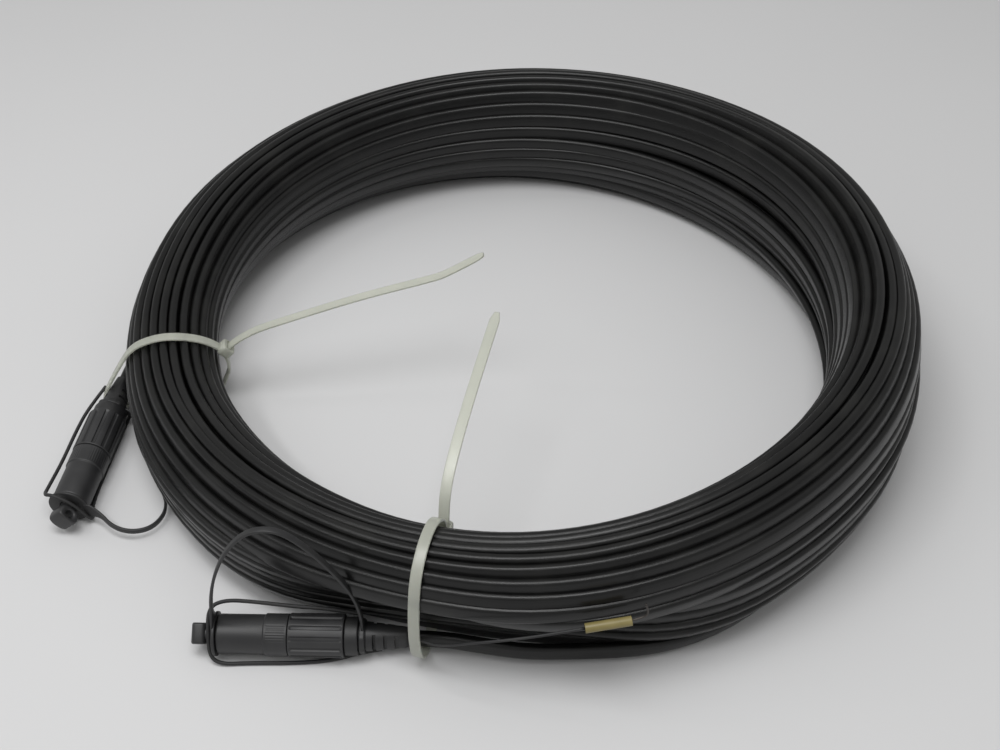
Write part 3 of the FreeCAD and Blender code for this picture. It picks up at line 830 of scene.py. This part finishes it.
seat_ring = [(71.3, 6.05, 0), (71.3, 7.4, 0.6), (73.7, 7.4, 0.6), (73.7, 6.05, 0)]
seat_pads, pad_high, pad_least = 8, 0.25, 7


def seat_bumps(station, radius, turn):
    """Low pads round the boot's ring of a strap."""
    return radius + (pad_high * max(0.0, math.cos(seat_pads * turn)) if radius > pad_least else 0)


def band_widths(far):
    """The band's width at each distance along it, as a share: it flares at the neck and at the boot."""
    at_neck = neck_flare * np.exp(-((far - neck_flare_at) / neck_flare_long) ** 2)
    at_boot = boot_flare * np.exp(-((far[-1] - far) / boot_flare_long) ** 2)
    return band_least + band_gain * far / far[-1] + at_neck + at_boot


def bends_with_cap(piece, end):
    """Works out points on the plug near the boot and near the neck, and bakes the piece's place into its
    mesh.
    """
    on_plug(end, bend_start) * mm
    on_plug(end, bend_end) * mm
    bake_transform(piece)


for end in "ab":
    place = plug_frames[end] @ Matrix.Rotation(math.radians(strap_rolls[end]), 4, "X")
    line = line_of([place @ Vector((along, 0, out)) for along, out in strap_routes[end]], strap_fineness)
    far = distance_along(line) / mm
    sizes = np.stack([np.ones(len(line)), band_widths(far)], axis=1)
    band, faces = swept_skin(line, rounded_oblong(strap_thick, strap_wide, strap_corner), sizes=sizes,
                             up=place.to_3x3() @ Vector((0, 1, 0)))
    back = plug_frames[end].inverted()
    skins = [([back @ Vector(p / mm) for p in band], faces), turned(neck_ring, neck_sides, hollow=True),
             turned(seat_ring, seat_sides, seat_bumps, hollow=True)]
    strap = piece_of("tether_strap_" + end, skins, soft_black, plug_frames[end])
    bends_with_cap(strap, end)
    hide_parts("cap_strap_" + end)
    print("its band is", round(far[-1], 1), "mm long")

# %% [markdown]
# A thin cord is looped once round the neck of each cap, with both ends tucked back beside the plug. Its
# route follows the solid's own, with some points moved. A bevelled curve could make it, but the sweep also
# keeps the line that the frame asks for.

# %% Pull cords
# along the plug from its tip, to its side and up from its line, in millimetres
pull_routes = {
    "a": [(80.0, -0.4, -8.8), (72.0, -1.8, -8.9), (60.0, -6.4, -8.8), (44.0, -8.2, -8.7),
          (24.0, -8.6, -8.7), (12.0, -9.6, -8.4), (7.8, -7.8, -5.2), (7.7, -4.4, 3.4), (7.6, 4.2, 12.8),
          (14.0, 8.4, 12.6), (26.0, 8.6, 11.4), (44.0, 6.6, 11.2), (60.0, 7.2, 9.2), (72.0, 6.8, 6.4)],
    "b": [(78.0, -5.6, -8.8), (50.0, -5.7, -8.9), (18.0, -5.8, -8.8), (8.9, -10.2, -8.4), (7.6, -6.6, 0.5),
          (7.6, -1.0, 6.6), (7.7, 5.6, 9.8), (9.5, 10.0, 7.2), (17.0, 12.0, 3.0), (36.0, 12.4, 0.4),
          (58.0, 12.7, 0.2), (72.0, 11.4, 0.8), (86.0, 7.2, 2.2)],
}
pull_cord_wide = 1.7
pull_cord_sides = 14
pull_cord_fineness = 14


def round_ring(diameter, sides):
    turns = 2 * math.pi * np.arange(sides) / sides
    return np.stack([np.cos(turns), np.sin(turns)], axis=1) * diameter / 2 * mm


for end in "ab":
    line = line_of([on_plug(end, *spot) for spot in pull_routes[end]], pull_cord_fineness)
    cord = swept_piece("neck_cord_" + end, line, round_ring(pull_cord_wide, pull_cord_sides), cord_black)
    bends_with_cap(cord, end)
    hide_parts("pull_cord_" + end)
    print("made", cord.name, round(float(distance_along(line)[-1]), 4), "m")

# %% [markdown]
# Nylon ties hold the ring. Nylon lets some light through, so its finish is pale with a soft sheen, and part
# of the light passes into it.

# %% Tie finish
def nylon(shade):
    cloud = noise(shade, 90.0, 3.0)
    return {"Base Color": two_tone(shade, cloud, (0.68, 0.70, 0.615), (0.76, 0.77, 0.685)),
            "Roughness": 0.30 + 0.12 * cloud,
            "Normal": raised(shade, noise(shade, 700.0, 2.0), 0.00003)}


tie_natural = finish_of("tie_natural", nylon, transmission_weight=0.6, ior=1.53)

# %% [markdown]
# Each tie is one strap: from its locking head over the top, down the outside, under the ring, up the
# inside, through the head, and out as a long loose tail that stands up over the floor. Loop and tail are
# swept along splines of their own, and the head is a stack of rounded blocks with a mouth for the tail.

# %% Nylon ties
tie_wide = 4.8
tie_thick = 1.3
tie_corner = 0.4
tie_fineness = 12
tail_thick = 1.1
tail_taper = 5.0
tail_narrowing = 0.5
coil_radius = 170.0
tie_spots = dict(zip("ab", tie_azimuths))
# out from the ring's middle line and up, in millimetres
tie_loops = {
    "a": [(-26.4, 34.0), (-26.0, 45.0), (-23.6, 53.5), (-14.0, 62.6), (-1.0, 65.0), (11.8, 58.8),
          (16.8, 45.0), (19.2, 26.0), (16.6, 9.0), (8.0, 0.9), (-12.0, 0.9), (-22.0, 6.0), (-26.4, 20.0)],
    "b": [(-23.6, 20.0), (-24.6, 31.0), (-15.5, 40.0), (-3.0, 44.2), (9.0, 44.4), (21.2, 39.6),
          (29.0, 28.2), (36.0, 16.6), (41.6, 6.5), (35.0, 0.9), (0.0, 0.9), (-13.0, 0.9), (-18.6, 7.0)],
}
tie_tails = {
    "a": [(-28.4, 40.3), (-30.0, 55.0), (-38.0, 64.5), (-58.0, 71.5), (-90.0, 77.5), (-124.0, 81.0)],
    "b": [(-23.8, 33.4), (-33.0, 42.4), (-60.0, 50.8), (-94.0, 60.8), (-127.0, 68.0), (-135.0, 70.6),
          (-152.4, 80.6)],
}
# along the tail, then how tall and how wide the head is there; the last two are its mouth
head_blocks = [(-2.8, 5.6, 6.0), (-2.4, 6.6, 7.0), (-1.9, 7.0, 7.4), (1.9, 7.0, 7.4), (2.4, 6.6, 7.0),
               (2.8, 5.8, 6.2), (2.8, 2.6, 5.6), (1.2, 2.4, 5.4)]
head_corner = 0.22


def head_skin(place):
    """A tie's locking head: a small rounded block, with a mouth that the tail comes out of."""
    rings = []
    for along, tall, wide in head_blocks:
        ring = rounded_oblong(tall, wide, head_corner * tall) / mm
        rings.append([place @ Vector((along, y, x)) for x, y in ring])
    return stacked(rings)


def tie_strip(points, thick, across, taper=0.0):
    """A stretch of a tie's strap, which may narrow over its last millimetres."""
    line = line_of(points, tie_fineness)
    left = (distance_along(line)[-1] - distance_along(line)) / mm
    widths = np.ones(len(line))
    if taper:
        widths = 1 - tail_narrowing * np.clip(1 - left / taper, 0, 1) ** 2
    skin, faces = swept_skin(line, rounded_oblong(thick, tie_wide, tie_corner), up=across,
                             sizes=np.stack([np.ones(len(line)), widths], axis=1))
    return [Vector(p / mm) for p in skin], faces


for end in "ab":
    turn = Matrix.Rotation(math.radians(tie_spots[end]), 4, "Z")
    loop, tail = ([turn @ Vector((coil_radius + out, 0, up)) for out, up in places]
                  for places in (tie_loops[end], tie_tails[end]))
    across = turn.to_3x3() @ Vector((0, 1, 0))
    ahead = (tail[1] - tail[0]).normalized()
    place = Matrix((ahead, across, ahead.cross(across))).transposed().to_4x4()
    skins = [tie_strip(loop + loop[:1], tie_thick, across), tie_strip(tail, tail_thick, across, tail_taper),
             head_skin(Matrix.Translation(tail[0]) @ place)]
    tie = piece_of("nylon_tie_" + end, skins, tie_natural)
    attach(tie, "root")
    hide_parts("cable_tie_" + end)

# %% [markdown]
# A thin tone wire is split out of the cable at the first plug, so that a tester can find the buried cable
# by it. It comes out from under the tie and runs up the ring's side.

# %% Tone wire
wire_wide = 1.2
wire_sides = 12
wire_fineness = 16
wire_route = [(-46.4, -180.3, 22.8), (-41.6, -182.6, 23.6), (-34.0, -188.6, 28.5), (-20.0, -194.6, 39.5),
              (2.0, -196.4, 45.6), (23.6, -194.6, 49.6)]
line = line_of(wire_route, wire_fineness)
wire = swept_piece("tone_lead", line, round_ring(wire_wide, wire_sides), cord_black)
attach(wire, "root")
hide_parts("tone_wire")
print("made", wire.name, round(float(distance_along(line)[-1]), 4), "m")

# %% [markdown]
# A pale yellow sleeve keeps the wire's bare end, which is bent to a small hook. The sleeve is turned, like
# the plugs' pieces, about a line that turns and rises a little from the wire's last point.

# %% Sleeve and tip
sleeve_turn = math.radians(6.9)
sleeve_rise = math.radians(6.0)
sleeve_long = 18.6
sleeve_bore, sleeve_round, sleeve_ease = 1.3, 2.0, 0.25
sleeve_sides = 40
sleeve_profile = [(0, sleeve_bore, 0), (0, sleeve_round, sleeve_ease),
                  (sleeve_long, sleeve_round, sleeve_ease), (sleeve_long, sleeve_bore, 0)]
# along from the sleeve's end, to the side and up, in millimetres
tip_route = [(-2.0, 0, -0.2), (3.4, 0.2, 0.4), (6.2, 0.2, 1.8), (6.6, 0.3, 5.4), (5.8, 0.3, 9.0)]
tip_wide = 0.9
tip_sides = 10
tip_fineness = 10
tip_up = (0.1, -0.99, 0.0)
sleeve_yellow = finish_of("sleeve_yellow", moulded((0.185, 0.15, 0.052), (0.23, 0.19, 0.074),
                                                   roughness=0.42, grain=900.0, depth=0.00004))
bare_wire = finish_of("bare_wire", moulded((0.020, 0.018, 0.017), (0.060, 0.052, 0.046),
                                           roughness=0.36, grain=1800.0, depth=0.00006), metallic=0.5)
place = (Matrix.Translation(wire_route[-1]) @ Matrix.Rotation(sleeve_turn, 4, "Z")
         @ Matrix.Rotation(-sleeve_rise, 4, "Y"))
sleeve = piece_of("tone_lead_sleeve", [turned(sleeve_profile, sleeve_sides, hollow=True)], sleeve_yellow,
                  place)
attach(sleeve, "root")
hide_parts("tone_wire_sleeve")
tip_line = line_of([place @ Vector((sleeve_long + along, side, up)) for along, side, up in tip_route],
                   tip_fineness)
tip = swept_piece("tone_lead_tip", tip_line, round_ring(tip_wide, tip_sides), bare_wire,
                  up=tip_up)
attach(tip, "root")
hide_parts("tone_wire_tip")
print("made", tip.name, round(float(distance_along(tip_line)[-1]), 4), "m")

# %% [markdown]
# The pieces stand on a pale, matt floor, as in a plain product picture. It is only a stage, not part of the
# object.

# %% Floor
floor_half = 3.0


def pale_floor(shade):
    mottled = noise(shade, 3.0, 3.0)
    return {"Base Color": two_tone(shade, mottled, (0.60, 0.60, 0.605), (0.64, 0.64, 0.645))}


floor_mesh = bpy.data.meshes.new("floor")
floor_mesh.from_pydata([(-floor_half, -floor_half, 0), (floor_half, -floor_half, 0),
                        (floor_half, floor_half, 0), (-floor_half, floor_half, 0)], [], [(0, 1, 2, 3)])
floor_mesh.materials.append(finish_of("pale_floor", pale_floor, roughness=0.9))
floor = bpy.data.objects.new("floor", floor_mesh)
scene.collection.objects.link(floor)
print("floor", 2 * floor_half, "m wide")

# %% [markdown]
# The light is soft and plain. Two long lamps at the left draw thin lights along the turns, a third hangs
# lower, nearly over the middle, and an even sky fills the shadows. The lamps aim at the ring's middle.

# %% Light
sky_colour = (1.0, 1.0, 0.99, 1)
sky_strength = 0.46


def soft_lamp(name, place, size, power):
    lamp = bpy.data.lights.new(name, "AREA")
    lamp.shape = "RECTANGLE"
    lamp.size, lamp.size_y = size
    lamp.energy = power
    piece = bpy.data.objects.new(name, lamp)
    piece.location = place
    piece.rotation_euler = (-Vector(place)).to_track_quat("-Z", "Y").to_euler()
    scene.collection.objects.link(piece)


soft_lamp("lamp_left_front", place=(-0.75, -0.55, 1.45), size=(1.2, 0.16), power=5.0)
soft_lamp("lamp_above", place=(-0.1, -0.25, 0.95), size=(0.6, 0.3), power=4.6)
soft_lamp("lamp_left", place=(-1.2, 0.15, 1.5), size=(0.1, 1.2), power=1.8)
world = bpy.data.worlds.new("studio")
world.use_nodes = True
background = world.node_tree.nodes["Background"]
background.inputs["Color"].default_value = sky_colour
background.inputs["Strength"].default_value = sky_strength
scene.world = world

# %% [markdown]
